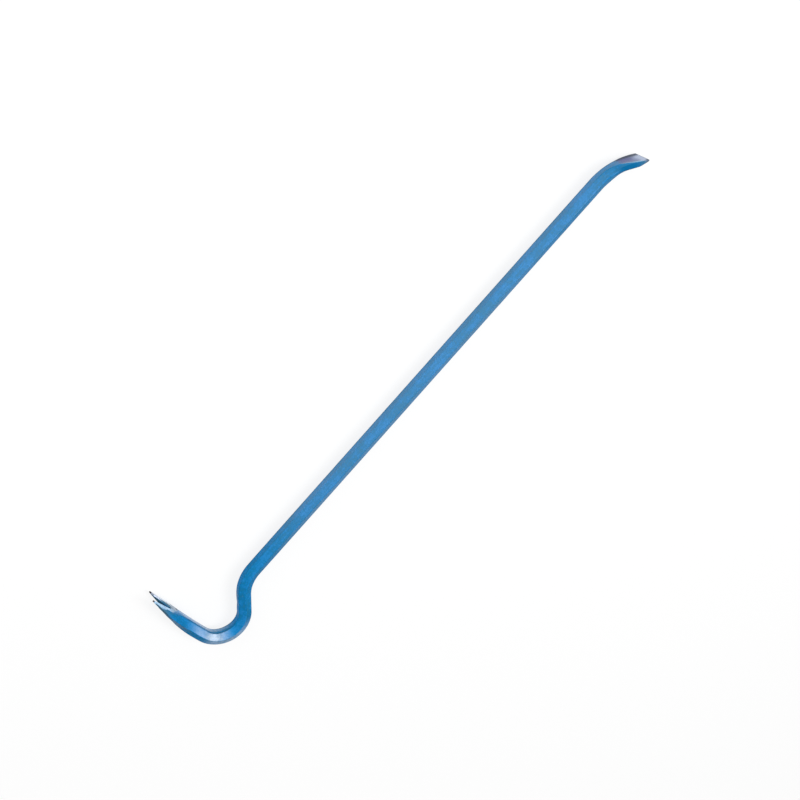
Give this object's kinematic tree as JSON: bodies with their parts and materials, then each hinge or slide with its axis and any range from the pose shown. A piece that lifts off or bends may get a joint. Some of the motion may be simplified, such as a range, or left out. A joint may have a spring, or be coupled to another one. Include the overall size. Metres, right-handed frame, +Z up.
{
  "type": "wrecking bar",
  "caption": "Long hexagonal steel wrecking bar with a gooseneck V-slotted nail claw at one end and a bent chisel tip with a bare ground face at the other.",
  "frame": {"origin": "under the middle of the bar, on the surface that it lies on when it is laid on its side; the centre of the bounding box's underside", "axes": "+X along the shank towards the chisel end; +Y square to the shank, the way the claw's two points face; +Z up, square to the plane that both ends bend in"},
  "size_m": [0.9, 0.153, 0.036],
  "materials": {
    "blue_paint": "semi-gloss blue enamel over forged steel",
    "ground_steel": "bare ground steel on the chisel's upper face and end"
  },
  "bodies": {
    "root": {"forged_bar": "blue_paint"}
  },
  "joints": []
}
